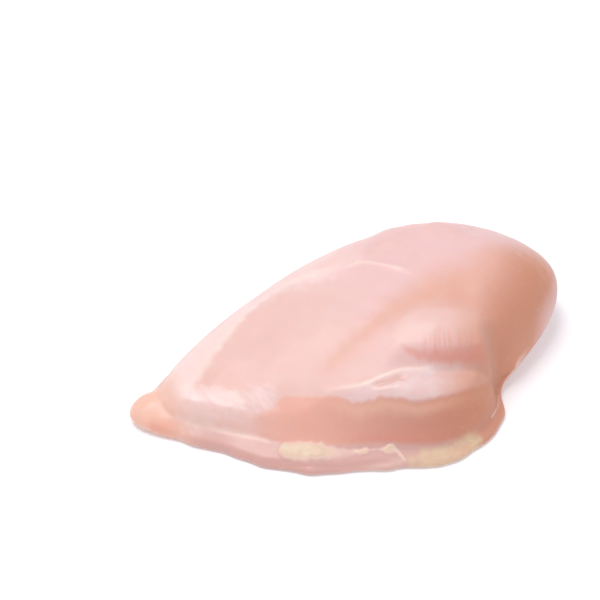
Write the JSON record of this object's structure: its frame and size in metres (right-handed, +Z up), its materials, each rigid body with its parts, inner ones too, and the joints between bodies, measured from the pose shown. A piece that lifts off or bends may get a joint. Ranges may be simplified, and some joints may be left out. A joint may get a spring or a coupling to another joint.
{
  "type": "raw chicken breast",
  "caption": "Raw boneless, skinless chicken breast half, thick and round at the shoulder end, thin at the tail, lying smooth side up with a fatty outer edge.",
  "frame": {"origin": "middle of the plan box, on the floor that the breast lies on", "axes": "+X from the thin tail to the thick shoulder end, +Y from the fatty outer edge to the keel edge, +Z up through the smooth side"},
  "size_m": [0.1702, 0.1032, 0.0387],
  "materials": {
    "raw_flesh": "wet, glossy pale pink flesh with cream fat along one edge"
  },
  "bodies": {
    "root": {"breast": "raw_flesh"}
  },
  "joints": []
}
